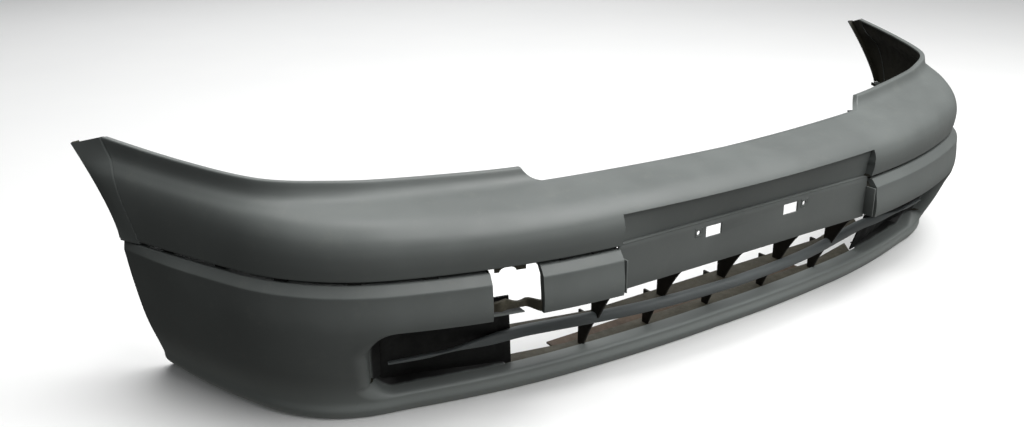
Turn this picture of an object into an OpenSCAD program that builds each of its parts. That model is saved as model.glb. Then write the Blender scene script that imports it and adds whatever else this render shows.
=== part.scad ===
// Front bumper cover of a compact car: painted upper and lower skins joined at a groove, plate panel,
// lower grille, lamp wells with blanking plates, wheel arch lips and steel mounting brackets.
// Millimetres. X runs across the car, -Y is forward, Z is up, and the bottom edge is at Z = 0.
// A skin point is given by its station s along the groove line, its depth d inwards from that line
// and its height z.

/* [Plan of the groove line] */
// Distance of the groove line in front of the plate panel, at the centre
front_reach = 20; // [14:1:26]
// Radius of the nearly straight centre stretch
centre_r = 2700; // [2200:50:3200]
// Radius of the stretch towards the corner
side_r = 1050; // [950:10:1150]
// Radius of the corner
corner_r = 290; // [270:5:310]
// Radius of the wing behind the corner
wing_r = 3000; // [2500:100:4000]

/* [Heights] */
// Height of the groove between the two skins
groove_z = 222; // [216:1:228]
// Height of the chamfer's lower edge
chamfer_z = 207; // [202:1:210]
// Underside of the band
band_z = 156; // [152:1:160]
// Top of the bottom lip
lip_z = 28; // [24:1:32]
// Centre height of the middle grille bar
bar_z = 87; // [82:1:92]

/* [Skins] */
// Thickness of both painted skins
skin_t = 3; // [2.5:0.1:3.5]
// Outward step of the chamfer below the groove
chamfer_out = 10; // [7:0.5:12]
// Width of the flanges inside the groove
flange_w = 13; // [10:1:16]
// Height of the groove itself
groove_gap = 5; // [4:0.5:6]

/* [Plate panel] */
// Width of the panel and of the recess above it
panel_w = 530; // [520:2:536]
// Lower edge of the panel
panel_z = 152; // [150:1:154]
// Upper edge of the recess in the upper skin
recess_z = 270; // [266:1:274]
// Distance between the two round holes
plate_pitch = 226; // [220:1:232]
// Radius of the round holes
plate_hole_r = 3.5; // [3:0.25:4]

/* [Openings] */
// Station where the towing-eye opening starts
tow_from = 392; // [388:1:396]
// Station where the towing-eye opening ends
tow_to = 463; // [458:1:468]
// Station where the lamp well starts to close
well_round = 600; // [594:1:604]
// Station of the lamp well's outer end
well_end = 650; // [646:1:654]

/* [Brackets and fasteners] */
// Radius of the bolt holes in the wing brackets
wing_hole_r = 4.5; // [4:0.25:5]
// Distance between the two holes of a wing bracket
wing_pitch = 50; // [44:1:56]
// Radius of the bolt holes in the top mounts
top_hole_r = 4.25; // [3.5:0.25:5]
// Thickness of the steel brackets
steel_t = 2.5; // [2:0.25:3]

/* [Hidden] */
$fn = 48;

// Shift of the whole model that puts the origin at the middle of the plan box
centre_y = -252.2;

// Arcs of the groove line: radii, and the heading at the start of each arc
plan_r = [centre_r, side_r, corner_r, wing_r];
plan_a = [0, 6.5, 22, 64];
last_arc = len(plan_r) - 1;

// Upper skin: depth and rise of its top edge above the groove, by station
top_depth = [[0, 98], [346, 102], [520, 95], [680, 74], [806, 37], [912, 27], [1078, 23]];
top_rise = [[0, 98], [384, 100], [520, 104], [680, 110], [806, 116], [912, 122], [1078, 132]];
// Shape of its section, as shares of that depth and rise
shoulder_depth = [
    [0, 0], [1, -0.04], [2, -0.03], [3, 0.06], [4, 0.26], [5, 0.57], [6, 0.83], [7, 0.94], [8, 1]
];
shoulder_rise = [
    [0, 0], [1, 0.2], [2, 0.37], [3, 0.53], [4, 0.66], [5, 0.745], [6, 0.81], [7, 0.88], [8, 1]
];
// The top edge is cut lower between the notches
cut_row = 6;
full_row = 8;
notch_from = 342;
notch_to = 375;
notch_curve = 1.7;
rim_w = 9;
rim_drop = 1.5;
// Plate recess: distance of its face behind the panel plane, at its foot and at its top
recess_foot = 6;
recess_top = -14.5;

// Wing: the crease leans back over the height, and the arch lip flares behind it
crease_s = 990;
crease_lean = 88;
lean_from = 760;
arch_s = 1028;
arch_lean = 110;
arch_curve = 1.35;
arch_depth = [-4, 11];
arch_rise = 115;
arch_flange = 12;

// Lower skin: depth at five heights, by station
bottom_depth = [[0, 76], [355, 70], [553, 60], [680, 41], [746, 37], [842, 37], [928, 42], [1024, 54]];
lip_depth = [[0, 70], [359, 63], [553, 51], [640, 38], [720, 29], [842, 27], [928, 31], [1024, 41]];
middle_depth = [[0, 24], [553, 22], [640, 10], [720, 4], [842, 4], [928, 8], [1024, 20]];
band_depth = [[0, -12], [600, -13], [720, -11], [842, -8], [928, -3], [1024, 6]];
chamfer_depth = [[0, -1], [900, -1], [1024, -0.2]];
middle_z = 90;
lip_bulge = 4;
lip_mid_z = 14;
rear_s = 1024;
band_end = 268;
lip_top_w = 26;
bottom_return = 12;

// Lower grille
bar_depth = [[0, 45], [176, 50], [372, 66], [460, 57], [544, 42], [600, 34]];
bar_half_h = [[0, 8.5], [380, 8.5], [440, 8], [500, 2.4], [520, 1.8], [540, 3], [600, 1.8]];
bar_half_w = [[0, 8], [380, 8], [470, 5], [600, 4]];
fin_pitch = 128;
fin_t = 4;
shelf_t = 3;
bar_shelf_rear = 79;
lip_shelf_rear = 100;
tray_half = 275;
tray_rear = 152;
tray_z = 8;

// Lamp well: its back leans backwards going down
well_start = 416;
well_back_top = 60;
well_back_foot = 92;
well_back_outer = 0.7;
well_margin = 14;

// ---------------------------------------------------------------- curves

function segment(keys, v, i = 0) =
    (i >= len(keys) - 2 || v < keys[i + 1][0]) ? i : segment(keys, v, i + 1);

function rise_over(keys, i, j) = (keys[j][1] - keys[i][1]) / (keys[j][0] - keys[i][0]);

function slope(keys, i) =
    i == 0 ? rise_over(keys, 0, 1)
    : i == len(keys) - 1 ? rise_over(keys, i - 1, i)
    : rise_over(keys, i - 1, i + 1);

// Smooth curve through the keys, by cubic pieces
function eased(keys, v) =
    let (i = segment(keys, v))
    let (w = keys[i + 1][0] - keys[i][0])
    let (u = min(max((v - keys[i][0]) / w, 0), 1))
    (2 * u ^ 3 - 3 * u ^ 2 + 1) * keys[i][1]
    + (u ^ 3 - 2 * u ^ 2 + u) * w * slope(keys, i)
    + (3 * u ^ 2 - 2 * u ^ 3) * keys[i + 1][1]
    + (u ^ 3 - u ^ 2) * w * slope(keys, i + 1);

function ramp(v, from, to) =
    let (u = min(max((v - from) / (to - from), 0), 1))
    u * u * (3 - 2 * u);

function mix(a, b, u) = a + (b - a) * u;

function arc_run(k) = plan_r[k] * (plan_a[k + 1] - plan_a[k]) * PI / 180;

function plan_walk(s, k, x, y) =
    let (run = k == last_arc ? s : min(s, arc_run(k)))
    let (turned = plan_a[k] + run / plan_r[k] * 180 / PI)
    let (nx = x + plan_r[k] * (sin(turned) - sin(plan_a[k])))
    let (ny = y + plan_r[k] * (cos(plan_a[k]) - cos(turned)))
    (k == last_arc || s <= run) ? [nx, ny, turned] : plan_walk(s - run, k + 1, nx, ny);

// Point at station s, depth d and height z
function at(s, d, z) =
    let (p = plan_walk(abs(s), 0, 0, -front_reach))
    let (side = s < 0 ? -1 : 1)
    [side * (p.x - d * sin(p.z)), p.y + d * cos(p.z), z];

function heading(s) = plan_walk(abs(s), 0, 0, 0).z * (s < 0 ? -1 : 1);

function mirrored(list) = concat([for (i = [len(list) - 1:-1:1]) -list[i]], list);

// ---------------------------------------------------------------- thin sheets

// Section points moved to the inner side by the skin's thickness
function inner_line(line) =
    [for (j = [0:len(line) - 1])
        let (a = line[max(j - 1, 0)], b = line[j], c = line[min(j + 1, len(line) - 1)])
        let (u = b == a ? c - b : b - a, v = c == b ? b - a : c - b)
        let (nu = [u.y, -u.x] / norm(u), nv = [v.y, -v.x] / norm(v))
        let (n = nu + nv)
        b + n / norm(n) * skin_t / max(norm(n) / 2, 0.75)];

function along(s, line) = [for (p = line) at(s, p.x, p.y)];

function kept(keep, i, j) =
    i >= 0 && j >= 0 && i < len(keep) && j < len(keep[0]) && keep[i][j];

// Closed solid between an outer and an inner grid, over the cells that are kept
module sheet(outer, inner, keep) {
    nc = len(outer);
    nr = len(outer[0]);
    o = function (i, j) i * nr + j;
    n = function (i, j) nc * nr + i * nr + j;
    faces = [
        for (i = [0:nc - 2])
            for (j = [0:nr - 2])
                if (keep[i][j])
                    each concat(
                        [[o(i, j), o(i, j + 1), o(i + 1, j + 1)], [o(i, j), o(i + 1, j + 1), o(i + 1, j)]],
                        [[n(i, j), n(i + 1, j + 1), n(i, j + 1)], [n(i, j), n(i + 1, j), n(i + 1, j + 1)]],
                        kept(keep, i - 1, j) ? [] :
                            [[o(i, j + 1), o(i, j), n(i, j)], [o(i, j + 1), n(i, j), n(i, j + 1)]],
                        kept(keep, i + 1, j) ? [] :
                            [[o(i + 1, j), o(i + 1, j + 1), n(i + 1, j + 1)],
                             [o(i + 1, j), n(i + 1, j + 1), n(i + 1, j)]],
                        kept(keep, i, j + 1) ? [] :
                            [[o(i + 1, j + 1), o(i, j + 1), n(i, j + 1)],
                             [o(i + 1, j + 1), n(i, j + 1), n(i + 1, j + 1)]],
                        kept(keep, i, j - 1) ? [] :
                            [[o(i, j), o(i + 1, j), n(i + 1, j)], [o(i, j), n(i + 1, j), n(i, j)]]
                    )
    ];
    polyhedron(
        points = concat([for (c = outer) each c], [for (c = inner) each c]),
        faces = faces,
        convexity = 10
    );
}

module full_sheet(outer, inner) {
    sheet(outer, inner, [for (i = [0:len(outer) - 2]) [for (j = [0:len(outer[0]) - 2]) true]]);
}

module in_place() {
    translate([0, centre_y, 0]) children();
}

module both_sides() {
    children();
    mirror([1, 0, 0]) children();
}

// Places its children at a station, turned with the skin: local X along it and local Y inwards
module on_skin(s, d, z) {
    translate(at(s, d, z)) rotate([0, 0, heading(s)]) children();
}

// ---------------------------------------------------------------- upper skin

upper_rows = [0, 0.5, 1, 1.5, 2, 2.5, 2.66, 3];
upper_shares = [0.2, 0.4, 0.6, 0.8, 0.92, 1];
upper_stations = [
    0, 60, 120, 180, 235, 263, 265.5, 300, 325, notch_from, 352, 361, 369, notch_to, 385, 400,
    440, 480, 520, 560, 600,
    630, 660, 690, 715, 740, 765, 790, 815, 850, 890, 930, 965, crease_s
];

function row_limit(s) =
    let (u = min(max((abs(s) - notch_from) / (notch_to - notch_from), 0), 1))
    mix(cut_row, full_row, u ^ notch_curve);

function upper_station(c, row) =
    let (base = abs(c))
    (c < 0 ? -1 : 1) * (base + crease_lean * ramp(base, lean_from, crease_s) * row / full_row);

function upper_section(s, row) =
    let (side = abs(s))
    [
        eased(top_depth, side) * eased(shoulder_depth, row),
        groove_z + 2 + eased(top_rise, side) * eased(shoulder_rise, row)
    ];

// The plate recess is straight and deepest at its foot, and follows the skin at its top
function recess_y(p) =
    mix(recess_foot, recess_top + p.x ^ 2 / (2 * centre_r), (p.z - groove_z) / (recess_z - groove_z));

function recessed(p, behind) =
    (abs(p.x) < panel_w / 2 - 1 && p.z < recess_z) ? [p.x, max(p.y, recess_y(p) + behind), p.z] : p;

function upper_row_list(c) =
    let (limit = row_limit(c))
    let (base = upper_rows[len(upper_rows) - 1])
    concat(upper_rows, [for (share = upper_shares) mix(base, limit, share)]);

// One column of the upper skin: its outer points and its inner points
function upper_column(c) =
    let (rows = upper_row_list(c))
    let (st = [for (r = rows) upper_station(c, r)])
    let (face = [for (k = [0:len(rows) - 1]) upper_section(st[k], rows[k])])
    let (foot = [flange_w, face[0].y])
    let (edge = face[len(face) - 1])
    let (line = concat([foot], face, [edge + [rim_w, -rim_drop]]))
    let (inside = inner_line(line))
    let (s = concat([st[0]], st, [st[len(st) - 1]]))
    let (plain = [for (k = [0:len(line) - 1]) at(s[k], line[k].x, line[k].y)])
    let (pressed = [for (k = [0:len(line) - 1]) recessed(plain[k], k == 0 ? flange_w - 4 : 0)])
    [
        pressed,
        [for (k = [0:len(line) - 1]) pressed[k] - plain[k] + at(s[k], inside[k].x, inside[k].y)]
    ];

module upper_cover() {
    columns = [for (c = mirrored(upper_stations)) upper_column(c)];
    color("#6f7573")
    full_sheet([for (c = columns) c[0]], [for (c = columns) c[1]]);
}

// ---------------------------------------------------------------- arch lips

function arch_point(share, out) =
    at(
        arch_s + arch_lean * share ^ arch_curve,
        mix(arch_depth[0], arch_depth[1], share) + out,
        groove_z + 2 + arch_rise * share
    );

module arch_lip() {
    crease = upper_column(crease_s);
    last = len(crease[0]) - 2;
    share = [for (j = [1:last]) (crease[0][j].z - crease[0][1].z) / (crease[0][last].z - crease[0][1].z)];
    outer = [
        [for (j = [1:last]) crease[0][j]],
        [for (v = share) arch_point(v, 0)],
        [for (v = share) arch_point(v, arch_flange)]
    ];
    inner = [
        [for (j = [1:last]) crease[1][j]],
        [for (v = share) arch_point(v, 0) + (at(arch_s - skin_t, skin_t, 0) - at(arch_s, 0, 0))],
        [for (v = share) arch_point(v, arch_flange) + (at(arch_s - skin_t, 0, 0) - at(arch_s, 0, 0))]
    ];
    full_sheet(outer, inner);
}

module arch_lip_right() {
    color("#5c6361") arch_lip();
}

module arch_lip_left() {
    color("#5c6361") mirror([1, 0, 0]) arch_lip();
}

// ---------------------------------------------------------------- lower skin

lower_stations = [
    0, 60, 120, 180, 230, band_end, 300, 350, tow_from, 425, tow_to, 500, 535, 570, well_round, 618, 632,
    642, 648, well_end, 662, 680, 700, 720, 745, 770, 800, 840, 880, 920, 960, 995, rear_s
];

function well_share(s) =
    let (u = min(max((abs(s) - well_round) / (well_end - well_round), 0), 1))
    1 - sqrt(1 - u * u);

function well_top(s) = mix(band_z, 115, well_share(s));
function well_foot(s) = mix(lip_z, 55, well_share(s));

// Depth of the lower skin at a height
function lower_depth(s, z) =
    let (side = abs(s))
    let (foot = eased(bottom_depth, side), lip = eased(lip_depth, side))
    eased([
        [0, foot],
        [lip_mid_z, mix(foot, lip, 0.5) - lip_bulge],
        [lip_z, lip],
        [middle_z, eased(middle_depth, side)],
        [band_z, eased(band_depth, side)],
        [chamfer_z, chamfer_out * eased(chamfer_depth, side)]
    ], z);

function lip_line(s) =
    let (foot = eased(bottom_depth, abs(s)))
    let (edge = well_foot(s), closed = abs(s) >= well_end)
    let (top = closed ? 70 : edge + 1)
    let (inset = closed ? 0 : lip_top_w * (1 - 0.8 * ramp(abs(s), 540, well_end)))
    [
        [foot + bottom_return, 2],
        [foot, 0],
        [lower_depth(s, 7), 7],
        [lower_depth(s, 16), 16],
        [lower_depth(s, edge), edge],
        [lower_depth(s, top) + inset, top]
    ];

function band_line(s) =
    let (edge = well_top(s))
    concat(
        [for (share = [0, 0.12, 0.4, 0.7, 1])
            let (z = mix(edge, chamfer_z, share))
            [lower_depth(s, z), z]],
        [[0, groove_z - groove_gap + 2], [flange_w, groove_z - groove_gap + 2]]
    );

function lower_column(s) =
    let (lip = lip_line(s), band = band_line(s))
    let (closed = abs(s) >= well_end)
    let (inside = closed ? inner_line(concat(lip, band)) : concat(inner_line(lip), inner_line(band)))
    [along(s, concat(lip, band)), along(s, inside)];

lip_rows = 6;

function lower_kept(s, row) =
    row < lip_rows - 1 ? true
    : row == lip_rows - 1 ? abs(s) > well_end
    : abs(s) > band_end && !(s < -tow_from && s > -tow_to);

module lower_cover() {
    stations = mirrored(lower_stations);
    columns = [for (s = stations) lower_column(s)];
    keep = [
        for (i = [0:len(stations) - 2])
            let (middle = (stations[i] + stations[i + 1]) / 2)
            [for (j = [0:len(columns[0][0]) - 2]) lower_kept(middle, j)]
    ];
    color("#6f7573")
    sheet([for (c = columns) c[0]], [for (c = columns) c[1]], keep);
}

// ---------------------------------------------------------------- plate panel

panel_top = groove_z - 1;
panel_t = 3;
ledge_w = 16;
ledge_over = 5;
ledge_t = 2.5;
cheek_t = 2.5;
cheek_reach = 19;
rib_d = 12;
slot_x = [67, 98];
slot_z = [196, 213];
plate_hole_z = 207;

module panel_holes() {
    for (side = [-1, 1]) {
        translate([side * plate_pitch / 2, -1, plate_hole_z])
            rotate([-90, 0, 0]) cylinder(r = plate_hole_r, h = panel_t + 2);
    }
    both_sides()
        translate([slot_x[0], -1, slot_z[0]])
            cube([slot_x[1] - slot_x[0], panel_t + 2, slot_z[1] - slot_z[0]]);
}

module plate_panel() {
    color("#5a605e")
    union() {
        difference() {
            translate([-panel_w / 2, 0, panel_z]) cube([panel_w, panel_t, panel_top - panel_z]);
            panel_holes();
        }
        // Ledge under the recess, lower edge turned back, a stiffening rib and two uprights
        translate([-panel_w / 2 - ledge_over, 0, panel_top])
            cube([panel_w + 2 * ledge_over, ledge_w, ledge_t]);
        translate([-panel_w / 2, panel_t, panel_z]) cube([panel_w, 14, panel_t]);
        translate([-panel_w / 2 + 6, panel_t, 180]) cube([panel_w - 12, rib_d, 2]);
        both_sides()
            translate([fin_pitch - 1, panel_t, panel_z + panel_t]) cube([2, rib_d, 180 - panel_z - panel_t]);
        // Cheeks that close the ends of the band
        both_sides()
            translate([panel_w / 2 - cheek_t, -cheek_reach, panel_z + 5])
                cube([cheek_t, cheek_reach, chamfer_z - panel_z - 6]);
    }
}

// ---------------------------------------------------------------- lower grille

bar_stations = [0, 60, 120, 180, 240, 300, 350, 390, 420, 450, 480, 510, 540, 570, 600];
bar_sides = 10;

function bar_ring(s) =
    let (side = abs(s))
    let (h = eased(bar_half_h, side), w = eased(bar_half_w, side), d = eased(bar_depth, side))
    [for (k = [0:bar_sides - 1])
        let (a = 360 * k / bar_sides)
        at(s, d + w - w * cos(a), bar_z + h * sin(a))];

// Closed tube through rings of points
module tube(rings) {
    m = len(rings[0]);
    last = len(rings) - 1;
    polyhedron(
        points = [for (r = rings) each r],
        faces = concat(
            [for (i = [0:last - 1], k = [0:m - 1])
                [i * m + k, i * m + (k + 1) % m, (i + 1) * m + (k + 1) % m]],
            [for (i = [0:last - 1], k = [0:m - 1])
                [i * m + k, (i + 1) * m + (k + 1) % m, (i + 1) * m + k]],
            [[for (k = [m - 1:-1:0]) k]],
            [[for (k = [0:m - 1]) last * m + k]]
        ),
        convexity = 6
    );
}

module grille_bar() {
    color("#6a7070") tube([for (s = mirrored(bar_stations)) bar_ring(s)]);
}

// Plan point at station s and depth d
function plan_at(s, d) = let (p = at(s, d, 0)) [p.x, p.y];

shelf_stations = [0, 60, 120, 180, 240, 300, 350, 390];

function shelf_outline(rear) =
    concat(
        [for (s = mirrored(shelf_stations)) plan_at(s, eased(bar_depth, abs(s)) + 2 * eased(bar_half_w, abs(s)))],
        [[390, 112], [250, rear], [-250, rear], [-390, 112]]
    );

module bar_shelf() {
    color("#4d4a3b")
    translate([0, 0, bar_z - shelf_t / 2])
        linear_extrude(shelf_t) polygon(shelf_outline(bar_shelf_rear));
}

function lip_back(s) = plan_at(s, lower_depth(s, lip_z) + lip_top_w + 0.5);

module lip_shelf() {
    outline = concat(
        [for (s = mirrored(shelf_stations)) lip_back(s)],
        [[400, 132], [tray_half, lip_shelf_rear + 6], [-tray_half, lip_shelf_rear + 6], [-400, 132]]
    );
    color("#4b473a")
    translate([0, 0, lip_z - shelf_t + 1])
        linear_extrude(shelf_t) polygon(outline);
}

module lower_tray() {
    top = lip_z - shelf_t + 1;
    front = lip_shelf_rear + 6 - shelf_t;
    color("#4f4033")
    difference() {
        union() {
            translate([-tray_half, front, tray_z]) cube([2 * tray_half, shelf_t, top - tray_z]);
            translate([-tray_half, front, tray_z]) cube([2 * tray_half, tray_rear - front, shelf_t]);
            translate([-tray_half, front - 14, top - shelf_t]) cube([2 * tray_half, 14, shelf_t]);
        }
        tray_screw_places() cylinder(r = 2.6, h = 30, center = true);
    }
}

module tray_screw_places() {
    for (x = [-200, -70, 70, 200])
        translate([x, lip_shelf_rear - 4, lip_z - shelf_t + 1 - shelf_t]) children();
}

module tray_screws() {
    color("#26272a")
    tray_screw_places() {
        translate([0, 0, -3.5]) cylinder(r = 5, h = 3.5);
        cylinder(r = 2.5, h = shelf_t);
    }
}

// Upright fins: broad at the top and drawn back towards the foot
module fins(top_front, foot_front, top_z, foot_z, rear) {
    for (i = [-2:2])
        translate([i * fin_pitch - fin_t / 2, 0, 0])
            rotate([90, 0, 90])
                linear_extrude(fin_t)
                    polygon([
                        [top_front, top_z], [rear, top_z], [rear, foot_z], [foot_front, foot_z]
                    ]);
}

module upper_grille_fins() {
    color("#1e1c18") fins(5, 50, panel_z, bar_z + shelf_t / 2, 66);
}

module lower_grille_fins() {
    color("#1e1c18") fins(52, 84, bar_z - shelf_t / 2, lip_z + 1, 96);
}

// ---------------------------------------------------------------- lamp wells

well_stations = [well_start, 450, 490, 530, 570, well_round, 618, 632, 642, 648, well_end];

// Outline of the well: along its top, round the outer end and back along its foot
function well_outline() =
    concat(
        [for (s = well_stations) [s, well_top(s) - 0.5]],
        [for (i = [len(well_stations) - 1:-1:0]) [well_stations[i], well_foot(well_stations[i]) + 2.5]]
    );

function well_depth(s, z) =
    mix(well_back_foot, well_back_top, (z - lip_z) / (band_z - lip_z))
    * mix(1, well_back_outer, ramp(s, 560, well_end));

// Same outline drawn in towards the middle of the well
function drawn_in(p, by) =
    let (far = well_end - by)
    [
        min(p.x, mix(p.x, far - 4, ramp(p.x, far - 60, well_end))),
        mix(p.y, (band_z + lip_z) / 2, by / 64 * 0.6)
    ];

module fog_pocket() {
    rim = well_outline();
    back = [for (p = rim) drawn_in(p, well_margin)];
    outer = [
        [for (p = rim) at(p.x, lower_depth(p.x, p.y) + 3.2, p.y)],
        [for (i = [0:len(rim) - 1])
            let (p = mix(rim[i], back[i], 0.7))
            at(p.x, mix(lower_depth(rim[i].x, rim[i].y) + 3.2, well_depth(back[i].x, back[i].y), 0.45), p.y)],
        [for (p = back) at(p.x, max(well_depth(p.x, p.y), lower_depth(p.x, p.y) + 12), p.y)]
    ];
    middle = [540, (band_z + lip_z) / 2];
    inner = [
        for (k = [0:2])
            [for (i = [0:len(rim) - 1])
                let (away = rim[i] - middle)
                let (step = [abs(away.y) < 30 ? 1 : away.x > 90 ? 0.7 : 0, away.y > 0 ? 1 : -1])
                let (p = outer[k][i])
                p + [step.x * 1.6, -step.x, step.y * 1.6]]
    ];
    full_sheet(outer, inner);
}

module fog_pocket_right() {
    color("#2a2c2b") fog_pocket();
}

module fog_pocket_left() {
    color("#2a2c2b") mirror([1, 0, 0]) fog_pocket();
}

// Blanking plate that closes the back of a well
module fog_blank() {
    columns = [for (s = [well_start, 450, 490, 530, 570, 600, 620, 632])
        [for (share = [0, 0.25, 0.5, 0.75, 1])
            let (z = drawn_in([s, mix(well_foot(s) + 2.5, well_top(s) - 0.5, share)], well_margin).y)
            [s, max(well_depth(s, z), lower_depth(s, z) + 12) + 0.4, z]]];
    full_sheet(
        [for (c = columns) [for (p = c) at(p.x, p.y, p.z)]],
        [for (c = columns) [for (p = c) at(p.x, p.y + 2.5, p.z)]]
    );
}

module fog_blank_right() {
    color("#101111") fog_blank();
}

module fog_blank_left() {
    color("#101111") mirror([1, 0, 0]) fog_blank();
}

module blank_screws() {
    color("#26272a")
    both_sides()
        for (s = [440, 520, 590])
            on_skin(s, max(well_depth(s, 60), lower_depth(s, 60) + 12) + 4.5, 60)
                rotate([-90, 0, 0]) {
                    cylinder(r = 2.2, h = 8);
                    translate([0, 0, 8]) cylinder(r = 4.5, h = 3);
                }
}

// ---------------------------------------------------------------- towing-eye opening

sill_from = tow_from + 1;
sill_to = tow_to - 4;
sill_t = 2.5;
sill_crest = 441;
sill_wave = 48;
bridge_d = 9;
bridge_drop = 7.5;

// Sill behind the opening: it runs inwards from the band's end and bulges forward once
function sill_depth(s) =
    mix(-9, 14, ramp(s, tow_from, tow_from + 16)) - 5 * exp(-((s - sill_crest - 4) / 8) ^ 2);

function sill_top(s) = band_z + 12 + 3.5 * cos((s - sill_crest) / sill_wave * 360);

// Bridge under the groove, cut out in an arch
function bridge_foot(u) =
    mix(groove_z - bridge_drop, groove_z - 1, sqrt(max(0, 1 - ((u - 0.42) / 0.27) ^ 2)));

// Two points one above the other, on the left of the car
function upright(s, d, low, high) = [at(-s, d, low), at(-s, d, high)];

module tow_eye_frame() {
    sill = [for (s = [sill_from:4:sill_to]) s];
    bridge = [for (u = [0:0.05:1]) [mix(tow_to - 9, tow_from + 17, u), bridge_foot(u)]];
    color("#4a453a") {
        full_sheet(
            [for (s = sill) upright(s, sill_depth(s) + sill_t, band_z + 0.5, sill_top(s))],
            [for (s = sill) upright(s, sill_depth(s), band_z + 0.5, sill_top(s))]
        );
        full_sheet(
            [for (b = bridge) upright(b[0], bridge_d, b[1], groove_z + 2)],
            [for (b = bridge) upright(b[0], bridge_d + sill_t, b[1], groove_z + 2)]
        );
    }
}

// ---------------------------------------------------------------- steel brackets

bracket_s = 978;
bracket_d = 6;
bracket_z = 160;
bracket_l = 90;
bracket_h = 36;
bracket_ledge = 62;
wing_hole_in = 46;
rivet_x = 32;
rivet_z = 22;
rivet_root = 3;
top_mount_s = 250;
top_mount_w = 40;
top_mount_l = 44;
top_mount_drop = 22;

module wing_bracket() {
    on_skin(bracket_s, bracket_d, bracket_z)
        difference() {
            union() {
                translate([-bracket_l / 2, 0, 0]) cube([bracket_l, steel_t, bracket_h]);
                translate([-bracket_l / 2, 0, 0]) cube([bracket_l, bracket_ledge, steel_t]);
            }
            for (side = [-1, 1]) {
                translate([side * wing_pitch / 2, wing_hole_in, -1]) cylinder(r = wing_hole_r, h = steel_t + 2);
                translate([side * rivet_x, -1, rivet_z]) rotate([-90, 0, 0]) cylinder(r = 2.5, h = steel_t + 2);
            }
        }
}

module wing_bracket_right() {
    color("#8d9092") wing_bracket();
}

module wing_bracket_left() {
    color("#8d9092") mirror([1, 0, 0]) wing_bracket();
}

module bracket_rivets() {
    color("#a3a6a8")
    both_sides()
        on_skin(bracket_s, bracket_d, bracket_z)
            for (side = [-1, 1])
                translate([side * rivet_x, 0, rivet_z]) rotate([-90, 0, 0]) {
                    translate([0, 0, -rivet_root]) cylinder(r = 2.5, h = steel_t + rivet_root);
                    translate([0, 0, steel_t]) cylinder(r = 4.8, h = 1.6);
                }
}

// Angle bracket that hangs from the rim of the upper skin
module top_mount() {
    rim = upper_section(top_mount_s, cut_row);
    on_skin(top_mount_s, rim.x + 3, rim.y - rim_drop - skin_t - top_mount_drop)
        difference() {
            union() {
                translate([-top_mount_w / 2, 0, 0]) cube([top_mount_w, top_mount_l, steel_t]);
                translate([-top_mount_w / 2, 0, 0]) cube([top_mount_w, steel_t, top_mount_drop]);
            }
            translate([0, 26, -1]) cylinder(r = top_hole_r, h = steel_t + 2);
        }
}

module top_mount_right() {
    color("#8d9092") top_mount();
}

module top_mount_left() {
    color("#8d9092") mirror([1, 0, 0]) top_mount();
}

// ---------------------------------------------------------------- clips

module joint_clips() {
    z = groove_z - groove_gap + 2;
    color("#2b2d2c")
    both_sides()
        for (s = [300, 350, 540, 640, 740, 840, 940])
            on_skin(s, 5.5, z) translate([-9, 0, 0]) cube([18, 6, groove_gap]);
}

module panel_clips() {
    color("#2b2d2c")
    for (x = [-220, -150, 150, 220])
        translate([x - 8, panel_t, 192]) {
            cube([16, 9, 20]);
            translate([0, 0, 20]) cube([16, 4, 8]);
        }
}

// ---------------------------------------------------------------- assembly

in_place() {
    upper_cover();
    lower_cover();
    plate_panel();
    arch_lip_left();
    arch_lip_right();
    grille_bar();
    bar_shelf();
    upper_grille_fins();
    lower_grille_fins();
    lip_shelf();
    lower_tray();
    fog_pocket_left();
    fog_pocket_right();
    fog_blank_left();
    fog_blank_right();
    tow_eye_frame();
    wing_bracket_left();
    wing_bracket_right();
    top_mount_left();
    top_mount_right();
    bracket_rivets();
    joint_clips();
    panel_clips();
    blank_screws();
    tray_screws();
}
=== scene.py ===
import math

import bmesh
import bpy
import numpy as np
from mathutils import Matrix, Vector


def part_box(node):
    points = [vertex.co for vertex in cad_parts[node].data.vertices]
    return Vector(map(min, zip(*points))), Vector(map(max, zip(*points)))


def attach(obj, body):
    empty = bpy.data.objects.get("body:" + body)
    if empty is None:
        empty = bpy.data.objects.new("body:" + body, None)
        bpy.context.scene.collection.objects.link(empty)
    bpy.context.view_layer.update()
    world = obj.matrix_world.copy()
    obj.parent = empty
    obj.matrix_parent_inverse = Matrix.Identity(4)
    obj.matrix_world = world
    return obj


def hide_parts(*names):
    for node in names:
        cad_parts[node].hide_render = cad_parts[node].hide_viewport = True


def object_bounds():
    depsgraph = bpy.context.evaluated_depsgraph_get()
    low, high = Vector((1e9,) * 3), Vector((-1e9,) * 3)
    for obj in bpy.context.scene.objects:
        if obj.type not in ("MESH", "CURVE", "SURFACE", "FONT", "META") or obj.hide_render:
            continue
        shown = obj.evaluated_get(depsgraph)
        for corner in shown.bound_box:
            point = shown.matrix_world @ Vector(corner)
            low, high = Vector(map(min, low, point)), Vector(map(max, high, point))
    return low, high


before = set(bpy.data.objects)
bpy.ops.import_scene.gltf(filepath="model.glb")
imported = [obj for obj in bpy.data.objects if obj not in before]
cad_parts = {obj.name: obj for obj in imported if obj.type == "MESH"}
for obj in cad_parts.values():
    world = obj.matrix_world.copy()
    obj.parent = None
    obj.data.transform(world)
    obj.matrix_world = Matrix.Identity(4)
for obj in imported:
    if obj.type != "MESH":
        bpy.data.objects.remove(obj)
cad_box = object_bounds()

# Lengths below are in millimetres until at() turns them into metres.
MM = 0.001
PANEL_CHEEK = 19
PANEL_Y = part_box("plate_panel")[0].y + PANEL_CHEEK * MM

# ---------------------------------------------------------------- camera, stage and light

CAMERA_PLACE = Vector((-1.140, PANEL_Y - 1.0228, 0.775))
CAMERA_LOOK = Vector((0.5267, 0.7732, -0.3533)).normalized()
LENS = 36.91


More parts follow.
